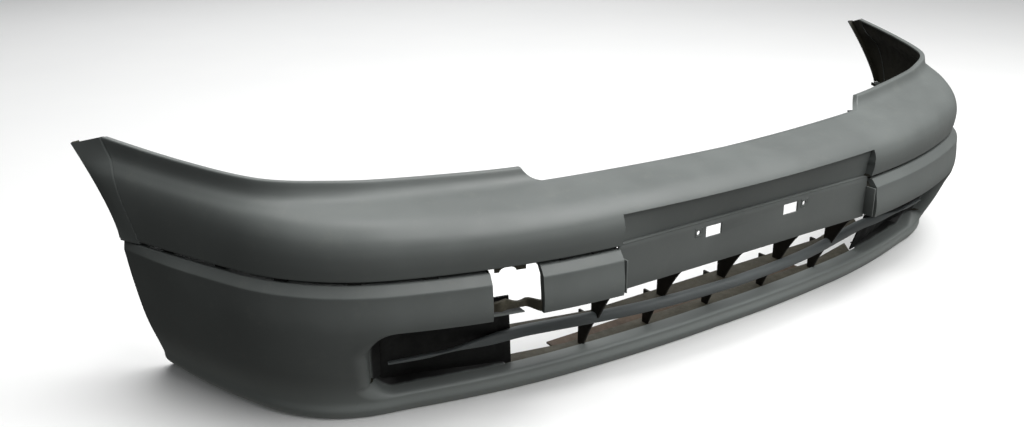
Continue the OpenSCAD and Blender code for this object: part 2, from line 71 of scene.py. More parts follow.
def make_camera():
    side = CAMERA_LOOK.cross(Vector((0, 0, 1))).normalized()
    top = side.cross(CAMERA_LOOK)
    data = bpy.data.cameras.new("camera")
    data.lens = LENS
    camera = bpy.data.objects.new("camera", data)
    turn = Matrix((side, top, -CAMERA_LOOK)).transposed().to_4x4()
    camera.matrix_world = Matrix.Translation(CAMERA_PLACE) @ turn
    bpy.context.scene.collection.objects.link(camera)
    bpy.context.scene.camera = camera


def area_light(name, place, target, size, power, colour=(1, 1, 1)):
    data = bpy.data.lights.new(name, "AREA")
    data.shape = "RECTANGLE"
    data.size, data.size_y = size
    data.energy = power
    data.color = colour
    lamp = bpy.data.objects.new(name, data)
    lamp.location = place
    direction = Vector(target) - Vector(place)
    lamp.rotation_euler = direction.to_track_quat("-Z", "Y").to_euler()
    bpy.context.scene.collection.objects.link(lamp)


def make_lights():
    area_light("sky_panel", (0.7, -1.5, 2.7), (0.1, -0.2, 0.1), (3.2, 1.9), 84, (1.0, 1.0, 0.99))
    area_light("top_panel", (0.2, 0.2, 3.2), (0.0, -0.1, 0.1), (3.2, 1.6), 62, (1.0, 1.0, 0.99))
    area_light("front_panel", (1.9, -3.6, 1.5), (0.1, -0.2, 0.15), (3.0, 1.6), 9, (1.0, 0.99, 0.97))
    area_light("rear_panel", (0.8, 3.2, 2.1), (0, 0.1, 0.2), (3.0, 1.6), 24)


def make_world():
    world = bpy.data.worlds.new("studio")
    world.use_nodes = True
    bpy.context.scene.world = world
    nodes, links = world.node_tree.nodes, world.node_tree.links
    nodes.clear()
    out = nodes.new("ShaderNodeOutputWorld")
    mix = nodes.new("ShaderNodeMixShader")
    path = nodes.new("ShaderNodeLightPath")
    seen = nodes.new("ShaderNodeBackground")
    seen.inputs["Color"].default_value = (1, 1, 1, 1)
    seen.inputs["Strength"].default_value = 1.0
    lit = nodes.new("ShaderNodeBackground")
    where = nodes.new("ShaderNodeTexCoord")
    split = nodes.new("ShaderNodeSeparateXYZ")
    ramp = nodes.new("ShaderNodeValToRGB")
    stops = ramp.color_ramp.elements
    stops[0].position, stops[0].color = 0.40, (0.30, 0.30, 0.29, 1)
    stops[1].position, stops[1].color = 1.0, (0.62, 0.63, 0.64, 1)
    middle = stops.new(0.58)
    middle.color = (0.22, 0.225, 0.23, 1)
    shift = nodes.new("ShaderNodeMath")
    shift.operation = "MULTIPLY_ADD"
    shift.inputs[1].default_value = 0.5
    shift.inputs[2].default_value = 0.5
    toward = nodes.new("ShaderNodeVectorMath")
    toward.operation = "DOT_PRODUCT"
    toward.inputs[1].default_value = (0.82, -0.57, 0.0)
    gain = nodes.new("ShaderNodeMapRange")
    gain.inputs["From Min"].default_value = -0.9
    gain.inputs["From Max"].default_value = 0.9
    gain.inputs["To Min"].default_value = 0.12
    gain.inputs["To Max"].default_value = 1.05
    links.new(where.outputs["Generated"], toward.inputs[0])
    links.new(toward.outputs["Value"], gain.inputs["Value"])
    links.new(gain.outputs["Result"], lit.inputs["Strength"])
    links.new(where.outputs["Generated"], split.inputs[0])
    links.new(split.outputs["Z"], shift.inputs[0])
    links.new(shift.outputs[0], ramp.inputs["Fac"])
    links.new(ramp.outputs["Color"], lit.inputs["Color"])
    links.new(path.outputs["Is Camera Ray"], mix.inputs["Fac"])
    links.new(lit.outputs[0], mix.inputs[1])
    links.new(seen.outputs[0], mix.inputs[2])
    links.new(mix.outputs[0], out.inputs["Surface"])


make_camera()
make_lights()
make_world()
bpy.context.scene.view_settings.view_transform = "Standard"

# ---------------------------------------------------------------- the shape, as in the CAD model

FRONT_REACH = 20
PLAN_R = [2700, 1050, 290, 3000]
PLAN_A = np.radians([0, 6.5, 22, 64])
GROOVE_Z, CHAMFER_Z, BAND_Z, LIP_Z, BAR_Z = 222, 207, 156, 28, 87
# Foot of the upper skin, just above the groove's middle
UPPER_Z = GROOVE_Z + 2
SKIN_T = 3
CHAMFER_OUT = 10
FLANGE_W = 13
GROOVE_GAP = 5

TOP_DEPTH = [[0, 98], [346, 102], [520, 95], [680, 74], [806, 37], [912, 27], [1078, 23]]
TOP_RISE = [[0, 98], [384, 100], [520, 104], [680, 110], [806, 116], [912, 122], [1078, 132]]
SHOULDER_DEPTH = [
    [0, 0], [1, -0.04], [2, -0.03], [3, 0.06], [4, 0.26], [5, 0.57], [6, 0.83], [7, 0.94], [8, 1]
]
SHOULDER_RISE = [
    [0, 0], [1, 0.2], [2, 0.37], [3, 0.53], [4, 0.66], [5, 0.745], [6, 0.81], [7, 0.88], [8, 1]
]
CUT_ROW, FULL_ROW = 6, 8
NOTCH, NOTCH_CURVE = (342, 375), 1.7
RIM_W, RIM_DROP = 9, 1.5

CREASE_S, CREASE_LEAN, LEAN_FROM = 990, 88, 760
ARCH_S, ARCH_LEAN, ARCH_RISE, ARCH_FLANGE = 1028, 110, 115, 12
ARCH_DEPTH = (-4, 11)
ARCH_CURVE = 1.35

BOTTOM_DEPTH = [[0, 76], [355, 70], [553, 60], [680, 41], [746, 37], [842, 37], [928, 42], [1024, 54]]
LIP_DEPTH = [[0, 70], [359, 63], [553, 51], [640, 38], [720, 29], [842, 27], [928, 31], [1024, 41]]
MIDDLE_DEPTH = [[0, 24], [553, 22], [640, 10], [720, 4], [842, 4], [928, 8], [1024, 20]]
BAND_DEPTH = [[0, -12], [600, -13], [720, -11], [842, -8], [928, -3], [1024, 6]]
CHAMFER_DEPTH = [[0, -1], [900, -1], [1024, -0.2]]
MIDDLE_Z, LIP_MID_Z, LIP_BULGE = 90, 14, 4
REAR_S, BAND_END = 1024, 268
LIP_TOP_W, BOTTOM_RETURN = 26, 12
TOW = (392, 463)
WELL_ROUND, WELL_END, WELL_TOP_END, WELL_FOOT_END = 600, 650, 115, 55

BAR_DEPTH = [[0, 45], [176, 50], [372, 66], [460, 57], [544, 42], [600, 34]]
BAR_HALF_H = [[0, 8.5], [380, 8.5], [440, 8], [500, 2.4], [520, 1.8], [540, 3], [600, 1.8]]
BAR_HALF_W = [[0, 8], [380, 8], [470, 5], [600, 4]]
FIN_PITCH, FIN_T = 128, 4
BAR_SHELF_BACK = [(390, 112), (250, 79), (-250, 79), (-390, 112)]
LIP_SHELF_BACK = [(400, 132), (275, 106), (-275, 106), (-400, 132)]

PANEL_W, PANEL_Z, PANEL_T, RECESS_Z = 530, 152, 3, 270
# Distance of the recess behind the panel plane, at its foot and at its top
RECESS_Y = (6, -14.5)
SLOT_X, SLOT_Z = (67, 98), (196, 213)
HOLE_X, HOLE_Z, HOLE_R, HOLE_PATCH = 113, 207, 3.5, 7
RIB_X, RIB_Z = 128, 180
LEDGE_OVER, LEDGE_W = 4, 16
WELL_START, WELL_BACK_TOP, WELL_BACK_FOOT, WELL_BACK_OUTER = 410, 60, 92, 0.7
WELL_FIRST = WELL_START - 14
SILL_CREST, SILL_WAVE, SILL_RISE = 441, 48, 3.5
BRIDGE_D, BRIDGE_DROP = 9, 7.5


def eased(keys, v):
    """Smooth curve through the keys, by cubic pieces."""
    table = np.array(keys, float)
    x, y = table[:, 0], table[:, 1]
    m = np.empty(len(x))
    m[1:-1] = (y[2:] - y[:-2]) / (x[2:] - x[:-2])
    m[0] = (y[1] - y[0]) / (x[1] - x[0])
    m[-1] = (y[-1] - y[-2]) / (x[-1] - x[-2])
    v = np.asarray(v, float)
    i = np.clip(np.searchsorted(x, v, "right") - 1, 0, len(x) - 2)
    w = x[i + 1] - x[i]
    u = np.clip((v - x[i]) / w, 0, 1)
    return (
        (2 * u**3 - 3 * u**2 + 1) * y[i]
        + (u**3 - 2 * u**2 + u) * w * m[i]
        + (3 * u**2 - 2 * u**3) * y[i + 1]
        + (u**3 - u**2) * w * m[i + 1]
    )


def smooth(v, start, end):
    u = np.clip((np.asarray(v, float) - start) / (end - start), 0, 1)
    return u * u * (3 - 2 * u)


def mix(a, b, u):
    return a + (b - a) * u


def plan(s):
    """Plan point and heading of the groove line at station s."""
    left = np.abs(np.asarray(s, float))
    x = np.zeros_like(left)
    y = np.full_like(left, -FRONT_REACH)
    turned = np.zeros_like(left)
    for k, radius in enumerate(PLAN_R):
        length = radius * (PLAN_A[k + 1] - PLAN_A[k]) if k + 1 < len(PLAN_R) else 1e9
        run = np.clip(left, 0, length)
        end = PLAN_A[k] + run / radius
        x = x + radius * (np.sin(end) - math.sin(PLAN_A[k]))
        y = y + radius * (math.cos(PLAN_A[k]) - np.cos(end))
        turned = np.where(run > 0, end, turned)
        left = left - run
    return x, y, turned


def at(s, d, z):
    """Points in metres at station s, depth d and height z."""
    s, d, z = np.broadcast_arrays(np.asarray(s, float), d, z)
    x, y, a = plan(s)
    side = np.where(s < 0, -1.0, 1.0)
    return np.stack([side * (x - d * np.sin(a)), y + d * np.cos(a) + PANEL_Y / MM, z], -1) * MM


def lower_depth(s, z):
    """Depth of the lower skin at one station and several heights."""
    side = abs(s)
    foot, lip = eased(BOTTOM_DEPTH, side), eased(LIP_DEPTH, side)
    keys = [
        [0, foot],
        [LIP_MID_Z, mix(foot, lip, 0.5) - LIP_BULGE],
        [LIP_Z, lip],
        [MIDDLE_Z, eased(MIDDLE_DEPTH, side)],
        [BAND_Z, eased(BAND_DEPTH, side)],
        [CHAMFER_Z, CHAMFER_OUT * eased(CHAMFER_DEPTH, side)],
    ]
    return eased(keys, z)


def rounded(points, radii, steps=4):
    """Polyline whose inner corners are rounded off by the given radii."""
    pts = [np.array(p, float) for p in points]
    line = [pts[0]]
    for k in range(1, len(pts) - 1):
        a, b, c = pts[k - 1], pts[k], pts[k + 1]
        u, v = a - b, c - b
        reach = min(radii[k - 1], 0.45 * np.linalg.norm(u), 0.45 * np.linalg.norm(v))
        p, q = b + u / np.linalg.norm(u) * reach, b + v / np.linalg.norm(v) * reach
        for i in range(steps + 1):
            t = i / steps
            line.append((1 - t) ** 2 * p + 2 * t * (1 - t) * b + t**2 * q)
    line.append(pts[-1])
    return line


# ---------------------------------------------------------------- mesh helpers


def add_grid(verts, faces, grid, keep=None, flip=False):
    """Adds a grid of points, columns from left to right and rows upwards, seen from outside."""
    nc, nr = grid.shape[:2]
    base = len(verts)
    verts.extend(map(tuple, grid.reshape(-1, 3)))
    for i in range(nc - 1):
        for j in range(nr - 1):
            if keep is None or keep(i, j):
                quad = [base + i * nr + j, base + (i + 1) * nr + j,
                        base + (i + 1) * nr + j + 1, base + i * nr + j + 1]
                faces.append(quad[::-1] if flip else quad)


def turn_outwards(work):
    """Turns the faces of each island the way most of them were built."""
    work.normal_update()
    built = {face: (face.normal.copy(), face.calc_area()) for face in work.faces}
    bmesh.ops.recalc_face_normals(work, faces=work.faces)
    left = set(work.faces)
    while left:
        island, queue = [], [left.pop()]
        while queue:
            face = queue.pop()
            island.append(face)
            near = {other for edge in face.edges for other in edge.link_faces if other in left}
            left -= near
            queue.extend(near)
        if sum(face.normal.dot(built[face][0]) * built[face][1] for face in island) < 0:
            bmesh.ops.reverse_faces(work, faces=island)


def new_piece(name, verts, faces, weld=0.00008, thick=0.0, bevel=0.0, segments=2, mirror=False,
              even=False, backed=False):
    """Mesh object with clean normals; thick adds an inner side and bevel rounds the sharp edges."""
    mesh = bpy.data.meshes.new(name)
    mesh.from_pydata([tuple(v) for v in verts], [], faces)
    work = bmesh.new()
    work.from_mesh(mesh)
    bmesh.ops.remove_doubles(work, verts=work.verts, dist=weld)
    loose = [v for v in work.verts if not v.link_faces]
    bmesh.ops.delete(work, geom=loose, context="VERTS")
    turn_outwards(work)
    if mirror:
        bmesh.ops.scale(work, vec=(-1, 1, 1), verts=work.verts)
        bmesh.ops.reverse_faces(work, faces=work.faces)
    work.to_mesh(mesh)
    work.free()
    piece = bpy.data.objects.new(name, mesh)
    bpy.context.scene.collection.objects.link(piece)
    if thick:
        shell = piece.modifiers.new("shell", "SOLIDIFY")
        shell.thickness = thick
        shell.offset = -1
        shell.use_even_offset = even
        shell.use_quality_normals = True
        shell.material_offset = 1 if backed else 0
    if bevel:
        soft = piece.modifiers.new("soft", "BEVEL")
        soft.width = bevel
        soft.segments = segments
        soft.limit_method = "ANGLE"
        soft.angle_limit = math.radians(40)
        soft.harden_normals = False
    return piece


def settle(piece, sharp=38):
    """Applies the modifiers and shades smooth across all but the sharp edges."""
    bpy.context.view_layer.update()
    graph = bpy.context.evaluated_depsgraph_get()
    mesh = bpy.data.meshes.new_from_object(piece.evaluated_get(graph))
    piece.modifiers.clear()
    piece.data = mesh
    # No point passes the CAD model's box
    for vertex in mesh.vertices:
        vertex.co = [min(max(c, low), high) for c, low, high in zip(vertex.co, *cad_box)]
    for poly in mesh.polygons:
        poly.use_smooth = True
    mesh.set_sharp_from_angle(angle=math.radians(sharp))
    return piece


def finish_piece(piece, material, slot, *nodes):
    piece.data.materials.clear()
    piece.data.materials.append(material)
    if material == skin_look:
        piece.data.materials.append(back_look)
    settle(piece)
    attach(piece, "root")
    if nodes:
        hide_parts(*nodes)
    return piece


def prism(verts, faces, outline, low, high, axis="z"):
    """Adds a closed prism over an outline that runs counter-clockwise."""
    n = len(outline)
    base = len(verts)
    for level in (low, high):
        for a, b in outline:
            p = {"z": (a, b, level), "x": (level, a, b), "y": (a, level, b)}[axis]
            verts.append(tuple(c * MM + (PANEL_Y if k == 1 else 0) for k, c in enumerate(p)))
    faces.append([base + k for k in range(n - 1, -1, -1)])
    faces.append([base + n + k for k in range(n)])
    for k in range(n):
        faces.append([base + k, base + (k + 1) % n, base + n + (k + 1) % n, base + n + k])


def both(values):
    """Stations of both sides, from those of one side that start at zero."""
    return np.concatenate([-values[:0:-1], values])


# ---------------------------------------------------------------- materials


class Look:
    """Small helper that builds one node material."""

    def __init__(self, name):
        self.material = bpy.data.materials.new(name)
        self.material.use_nodes = True
        tree = self.material.node_tree
        self.nodes, self.links = tree.nodes, tree.links
        self.shader = self.nodes["Principled BSDF"]
        self.place = self.nodes.new("ShaderNodeTexCoord").outputs["Object"]

    def noise(self, scale, detail=3.0, rough=0.55, stretch=None):
        node = self.nodes.new("ShaderNodeTexNoise")
        node.inputs["Scale"].default_value = scale
        node.inputs["Detail"].default_value = detail
        node.inputs["Roughness"].default_value = rough
        source = self.place
        if stretch:
            squeeze = self.nodes.new("ShaderNodeMapping")
            squeeze.inputs["Scale"].default_value = stretch
            self.links.new(self.place, squeeze.inputs["Vector"])
            source = squeeze.outputs[0]
        self.links.new(source, node.inputs["Vector"])
        return node.outputs["Fac"]

    def band(self, value, low, high, to_low=0.0, to_high=1.0):
        node = self.nodes.new("ShaderNodeMapRange")
        node.interpolation_type = "SMOOTHSTEP"
        for key, number in (("From Min", low), ("From Max", high), ("To Min", to_low), ("To Max", to_high)):
            node.inputs[key].default_value = number
        self.links.new(value, node.inputs["Value"])
        return node.outputs["Result"]

    def math(self, operation, a, b):
        node = self.nodes.new("ShaderNodeMath")
        node.operation = operation
        for socket, value in zip(node.inputs, (a, b)):
            if isinstance(value, (int, float)):
                socket.default_value = value
            else:
                self.links.new(value, socket)
        return node.outputs[0]

    def blend(self, fac, a, b):
        node = self.nodes.new("ShaderNodeMix")
        node.data_type = "RGBA"
        for socket, value in ((node.inputs[0], fac), (node.inputs[6], a), (node.inputs[7], b)):
            if isinstance(value, tuple):
                socket.default_value = (*value, 1.0)
            elif isinstance(value, (int, float)):
                socket.default_value = value
            else:
                self.links.new(value, socket)
        return node.outputs[2]

    def below(self, top, fade):
        """1 under a height and 0 above it, over a soft fade."""
        split = self.nodes.new("ShaderNodeSeparateXYZ")
        self.links.new(self.place, split.inputs[0])
        return self.band(split.outputs["Z"], top - fade, top, 1.0, 0.0)

    def near(self, spot, radius):
        """1 at a spot and 0 beyond its radius, with a ragged edge."""
        node = self.nodes.new("ShaderNodeVectorMath")
        node.operation = "DISTANCE"
        self.links.new(self.place, node.inputs[0])
        node.inputs[1].default_value = spot
        ragged = self.math("MULTIPLY_ADD", self.noise(160), radius)
        reach = self.math("ADD", node.outputs["Value"], ragged)
        return self.band(reach, 0.7 * radius, 1.5 * radius, 1.0, 0.0)

    def height(self, fac, distance, strength=1.0, below=None):
        node = self.nodes.new("ShaderNodeBump")
        node.inputs["Strength"].default_value = strength
        node.inputs["Distance"].default_value = distance
        self.links.new(fac, node.inputs["Height"])
        if below is not None:
            self.links.new(below, node.inputs["Normal"])
        return node.outputs["Normal"]

    def set(self, **sockets):
        for name, value in sockets.items():
            socket = self.shader.inputs[name.replace("_", " ")]
            if isinstance(value, tuple):
                socket.default_value = (*value, 1.0)
            elif isinstance(value, (int, float)):
                socket.default_value = value
            else:
                self.links.new(value, socket)
        return self.material


def primer(name, colour, rough=(0.40, 0.52), grain=0.00004, scuffs=(), low_painted_light=0.0):
    """Grey primer on moulded plastic: faint clouds, dust, fine orange peel, a few scuffs and, if asked,
    painted light low down.
    """
    look = Look(name)
    dark = tuple(0.86 * c for c in colour)
    dusty = (colour[0] * 1.16, colour[1] * 1.13, colour[2] * 1.07)
    clouds = look.band(look.noise(5.5, 4), 0.35, 0.68)
    tint = look.blend(clouds, dark, colour)
    dust = look.math("MULTIPLY", look.band(look.noise(38, 6, 0.7), 0.52, 0.78), 0.45)
    tint = look.blend(dust, tint, dusty)
    specks = look.math("MULTIPLY", look.band(look.noise(420, 2), 0.70, 0.78), 0.35)
    tint = look.blend(specks, tint, tuple(0.45 * c for c in colour))
    streaks = look.band(look.noise(90, 5, 0.6, (1.0, 1.0, 0.14)), 0.60, 0.80)
    tint = look.blend(look.math("MULTIPLY", streaks, 0.16), tint, dusty)
    if low_painted_light:
        # Painted light low down: a lighter tint in place of the light that a real floor throws up
        painted_bounce_mask = look.math("MULTIPLY", look.below(0.085, 0.07), low_painted_light)
        tint = look.blend(painted_bounce_mask, tint, tuple(2.0 * c for c in colour))
    for spot, radius, shade in scuffs:
        tint = look.blend(look.near(spot, radius), tint, shade)
    shine = look.band(look.noise(22, 5), 0.3, 0.75, *rough)
    peel = look.height(look.noise(520, 2), grain)
    ripple = look.height(look.noise(14, 2), 0.0005, 0.5, peel)
    return look.set(Base_Color=tint, Roughness=shine, Normal=ripple, Specular_IOR_Level=0.42)


def bare_plastic(name, colour, dirt, rough=(0.5, 0.72), grain=0.00012, spots=()):
    """Unpainted moulded plastic with dust, water marks and a leathery grain."""
    look = Look(name)
    patches = look.band(look.noise(24, 6, 0.65), 0.38, 0.66)
    tint = look.blend(patches, colour, dirt)
    fine = look.math("MULTIPLY", look.band(look.noise(260, 4), 0.45, 0.75), 0.5)
    tint = look.blend(fine, tint, tuple(1.35 * c for c in dirt))
    marks = look.math("MULTIPLY", look.band(look.noise(60, 5, 0.7, (1, 0.25, 1)), 0.58, 0.7), 0.5)
    tint = look.blend(marks, tint, tuple(0.5 * c for c in colour))
    for spot, radius, shade in spots:
        tint = look.blend(look.near(spot, radius), tint, shade)
    shine = look.band(look.noise(70, 5), 0.3, 0.7, *rough)
    leather = look.height(look.noise(900, 3), grain)
    return look.set(Base_Color=tint, Roughness=shine, Normal=leather, Specular_IOR_Level=0.35)


def plated_steel(name, colour, rough=(0.28, 0.5)):
    """Plated sheet steel with a faint brushed grain and dull patches."""
    look = Look(name)
    patches = look.band(look.noise(45, 5, 0.6), 0.4, 0.7)
    tint = look.blend(patches, colour, tuple(0.62 * c for c in colour))
    rust = look.math("MULTIPLY", look.band(look.noise(130, 6, 0.7), 0.66, 0.76), 0.5)
    tint = look.blend(rust, tint, (0.11, 0.055, 0.025))
    shine = look.band(look.noise(60, 4), 0.3, 0.7, *rough)
    brushed = look.height(look.noise(300, 3, 0.6, (1.0, 1.0, 9.0)), 0.00003)
    return look.set(Base_Color=tint, Roughness=shine, Normal=brushed, Metallic=0.9)


GREY = (0.150, 0.163, 0.158)
PANEL_GREY = (0.140, 0.151, 0.146)
wing_scuff = tuple(at(-930, 0, 292))
chamfer_scuff = tuple(at(-520, -5, 214))
SCUFFS = (
    (wing_scuff, 0.012, (0.03, 0.03, 0.028)),
    (chamfer_scuff, 0.020, (0.05, 0.043, 0.035)),
)
# The skin is lightened low down by painted light, in place of light thrown up from a floor
skin_look = primer("primed_skin", GREY, scuffs=SCUFFS, low_painted_light=0.62)
panel_look = primer("primed_panel", PANEL_GREY, rough=(0.5, 0.62), grain=0.00006)
bar_look = primer("primed_bar", (0.135, 0.150, 0.152), rough=(0.38, 0.5))
shelf_spot = tuple(at(-120, 75, 88))
shelf_look = bare_plastic("bare_shelf", (0.062, 0.056, 0.040), (0.088, 0.080, 0.058),
                          spots=((shelf_spot, 0.006, (0.16, 0.03, 0.02)),))
tray_look = bare_plastic("brown_tray", (0.070, 0.046, 0.030), (0.095, 0.066, 0.045))
fin_look = bare_plastic("dark_fins", (0.014, 0.012, 0.009), (0.024, 0.020, 0.015))
blank_look = bare_plastic("black_blank", (0.0045, 0.0046, 0.0046), (0.009, 0.009, 0.0085))
clip_look = bare_plastic("clip_plastic", (0.018, 0.018, 0.018), (0.03, 0.03, 0.028))
steel_look = plated_steel("zinc_steel", (0.36, 0.37, 0.38))
fastener_look = plated_steel("fastener_steel", (0.42, 0.42, 0.41))


def well_material():
    """Grey at the mouth of the well that turns to near black towards its back, along the depth attribute.
    """
    look = Look("dark_well")
    fade = look.nodes.new("ShaderNodeAttribute")
    fade.attribute_name = "depth"
    ragged = look.math("ADD", fade.outputs["Fac"], look.math("MULTIPLY", look.noise(45, 5), 0.3))
    mask = look.band(ragged, 0.12, 0.45)
    tint = look.blend(mask, GREY, (0.008, 0.008, 0.0078))
    shine = look.band(look.noise(40, 4), 0.3, 0.7, 0.45, 0.6)
    peel = look.height(look.noise(520, 2), 0.00005)
    return look.set(Base_Color=tint, Roughness=shine, Normal=peel, Specular_IOR_Level=0.38)


well_look = well_material()
back_look = bare_plastic("skin_back", (0.017, 0.016, 0.010), (0.030, 0.028, 0.017), rough=(0.55, 0.75))

# ---------------------------------------------------------------- upper skin


def row_limit(s):
    u = np.clip((np.abs(s) - NOTCH[0]) / (NOTCH[1] - NOTCH[0]), 0, 1)
    return mix(CUT_ROW, FULL_ROW, u**NOTCH_CURVE)


RECESS_FLANGE = 9
ROW_TABLE = np.linspace(0, FULL_ROW, 321)
RISE_TABLE = eased(SHOULDER_RISE, ROW_TABLE)


def upper_column(c):
    """Outer section of the upper skin at base station c, as stations, depths and heights."""
    side = abs(c)
    rise = eased(TOP_RISE, side)
    low = UPPER_Z
    levels = np.concatenate([np.linspace(0, 44, 12), [44.8, 45.4, 46, 46.6, 47.4], np.linspace(49, 56, 4)])
    rows = np.interp(levels / rise, RISE_TABLE, ROW_TABLE)
    limit = float(row_limit(side))
    rows = np.concatenate([rows, mix(rows[-1], limit, np.linspace(0, 1, 27)[1:])])
    lean = CREASE_LEAN * smooth(side, LEAN_FROM, CREASE_S) * rows / FULL_ROW
    st = side + lean
    d = eased(TOP_DEPTH, st) * eased(SHOULDER_DEPTH, rows)
    z = low + eased(TOP_RISE, st) * eased(SHOULDER_RISE, rows)
    foot = rounded([(FLANGE_W, low), (d[0], low), (d[3], z[3])], [2.0])
    foot = np.array(foot[:-1])
    edge_d, edge_z = d[-1], z[-1]
    rim = rounded([(d[-4], z[-4]), (edge_d, edge_z), (edge_d + RIM_W, edge_z - RIM_DROP)], [3.0])
    rim = np.array(rim[1:])
    return st, d, z, foot, rim


def upper_grid(side_sign, stations):
    columns = []
    for c in stations:
        st, d, z, foot, rim = upper_column(c)
        s = np.concatenate([np.full(len(foot), st[0]), st[1:-2], np.full(len(rim), st[-1])])
        dd = np.concatenate([foot[:, 0], d[1:-2], rim[:, 0]])
        zz = np.concatenate([foot[:, 1], z[1:-2], rim[:, 1]])
        columns.append(at(side_sign * s, dd, zz))
    return np.array(columns)


def press_recess(grid):
    """Presses the plate recess into the skin: straight upwards, and along the skin at its top."""
    half = (PANEL_W / 2 - 1) * MM
    x, y, z = grid[..., 0], grid[..., 1], grid[..., 2]
    inside = (np.abs(x) < half) & (z < RECESS_Z * MM)
    flange = z < (GROOVE_Z + 2.6) * MM
    bow = (x / MM) ** 2 / (2 * PLAN_R[0])
    top = RECESS_Y[1] + bow
    flat = PANEL_Y + MM * mix(RECESS_Y[0], top, (z / MM - GROOVE_Z) / (RECESS_Z - GROOVE_Z))
    target = np.where(flange & (y > y[:, 2:3]), flat + RECESS_FLANGE * MM, flat)
    grid[..., 1] = np.where(inside, np.maximum(y, target), y)
    return grid


def make_upper():
    right = np.concatenate([
        np.linspace(0, 255, 40), [259, 261.5, 263, 264, 264.8, 265.6, 267, 270],
        np.linspace(276, 340, 15), np.linspace(343, 375, 28), np.linspace(375.4, 377, 3),
        np.linspace(380, 590, 42),
        np.linspace(595, 810, 66), np.linspace(815, CREASE_S, 45)
    ])
    verts, faces = [], []
    grid = np.concatenate([upper_grid(-1, right[:0:-1]), upper_grid(1, right)])
    add_grid(verts, faces, press_recess(grid))
    piece = new_piece("upper_skin", verts, faces, thick=SKIN_T * MM, backed=True)
    finish_piece(piece, skin_look, "primed_skin", "upper_cover")


# ---------------------------------------------------------------- arch lips


def arch_point(share, out):
    return at(
        ARCH_S + ARCH_LEAN * share**ARCH_CURVE,
        mix(ARCH_DEPTH[0], ARCH_DEPTH[1], share) + out,
        UPPER_Z + ARCH_RISE * share,
    )


def make_arch_lip(side):
    st, d, z, _, _ = upper_column(CREASE_S)
    crease = at(st, d, z)
    share = (z - z[0]) / (z[-1] - z[0])
    rear = arch_point(share, 0)
    groove = crease + (at(st, d + 1.6, z) - at(st, d, z))
    columns = [groove, groove + (rear - groove) * 0.03, crease + (rear - crease) * 0.06]
    for u in np.linspace(0.1, 0.97, 16):
        hollow = -1.2 * math.sin(math.pi * u) * np.sin(math.pi * share)
        base = crease + (rear - crease) * u
        columns.append(base - (at(st, 0, 0) - at(st, hollow, 0)))
    columns.append(rear)
    for out in (1.5, 5, 9, ARCH_FLANGE):
        columns.append(arch_point(share, out) - (at(ARCH_S, 0, 0) - at(ARCH_S - 0.6, 0, 0)))
    verts, faces = [], []
    add_grid(verts, faces, np.array(columns))
    foot = np.array([
        [at(s, d, UPPER_Z), at(s, d + FLANGE_W, UPPER_Z)]
        for s, d in zip(np.linspace(CREASE_S, ARCH_S - 2, 8), np.linspace(0, ARCH_DEPTH[0], 8))
    ])
    add_grid(verts, faces, foot)
    piece = new_piece(
        "arch_strip_" + side, verts, faces, thick=SKIN_T * MM, mirror=side == "left", backed=True
    )
    finish_piece(piece, skin_look, "primed_skin", "arch_lip_" + side)


# ---------------------------------------------------------------- lower skin

LIP_ROWS, GAP_ROWS, BAND_ROWS = 16, 10, 14
ROUND_STEPS = np.sin(np.linspace(0, math.pi / 2, 15))


def well_share(s):
    u = np.clip((np.abs(s) - WELL_ROUND) / (WELL_END - WELL_ROUND), 0, 1)
    return 1 - np.sqrt(1 - u * u)


def well_top(s):
    return mix(BAND_Z, WELL_TOP_END, well_share(s))


def well_foot(s):
    return mix(LIP_Z, WELL_FOOT_END, well_share(s))


def lower_column(s):
    """Outer section of the lower skin: underside, lip, gap rows, band, chamfer and groove flange."""
    foot = float(eased(BOTTOM_DEPTH, abs(s)))
    low, high = float(well_foot(s)), float(well_top(s))
    lip_z = low * np.linspace(0, 1, LIP_ROWS) ** 1.15
    gap_z = np.linspace(low, high, GAP_ROWS + 2)[1:-1]
    band_z = mix(high, CHAMFER_Z - 3.5, np.linspace(0, 1, BAND_ROWS))
    lip_start = (float(lower_depth(s, lip_z[2])), lip_z[2])
    under = rounded([(foot + BOTTOM_RETURN, 2), (foot, 0), lip_start], [4.0])[:-1]
    z = np.concatenate([lip_z[2:], gap_z, band_z])
    face = np.stack([lower_depth(s, z), z], 1)
    groove_z = UPPER_Z - GROOVE_GAP
    chamfer = float(CHAMFER_OUT * eased(CHAMFER_DEPTH, abs(s)))
    flange = [(0, groove_z), (FLANGE_W, groove_z), (FLANGE_W + 0.5, GROOVE_Z + 1.7)]
    top = rounded([face[-1], (chamfer, CHAMFER_Z), *flange], [3.0, 1.6, 1.0])[1:]
    return np.array(under), face, np.array(top)


def band_is_open(s):
    return abs(s) < BAND_END or -TOW[1] < s < -TOW[0]


def make_lower():
    right = np.concatenate([
        np.linspace(0, BAND_END, 44), np.linspace(272, TOW[0], 20), np.linspace(397, TOW[1], 12),
        np.linspace(468, WELL_ROUND, 22), WELL_ROUND + (WELL_END - WELL_ROUND) * ROUND_STEPS[1:],
        np.linspace(653, 830, 56), np.linspace(835, REAR_S, 38)
    ])
    stations = both(right)
    parts = [lower_column(s) for s in stations]
    grid = np.array([
        at(s, np.concatenate(p)[:, 0], np.concatenate(p)[:, 1]) for s, p in zip(stations, parts)
    ])
    lip_last = len(parts[0][0]) + LIP_ROWS - 3
    band_first = lip_last + GAP_ROWS + 1

    def keep(i, j):
        middle = (stations[i] + stations[i + 1]) / 2
        if j < lip_last:
            return True
        if j < band_first:
            return abs(middle) > WELL_END
        return not band_is_open(middle)

    verts, faces = [], []
    add_grid(verts, faces, grid, keep)
    for sign in (-1, 1):
        add_opening_roll(verts, faces, right[right <= WELL_END + 0.01], sign)
    add_band_ends(verts, faces, stations, grid, band_first)
    piece = new_piece("lower_skin", verts, faces, thick=SKIN_T * MM, backed=True)
    finish_piece(piece, skin_look, "primed_skin", "lower_cover")


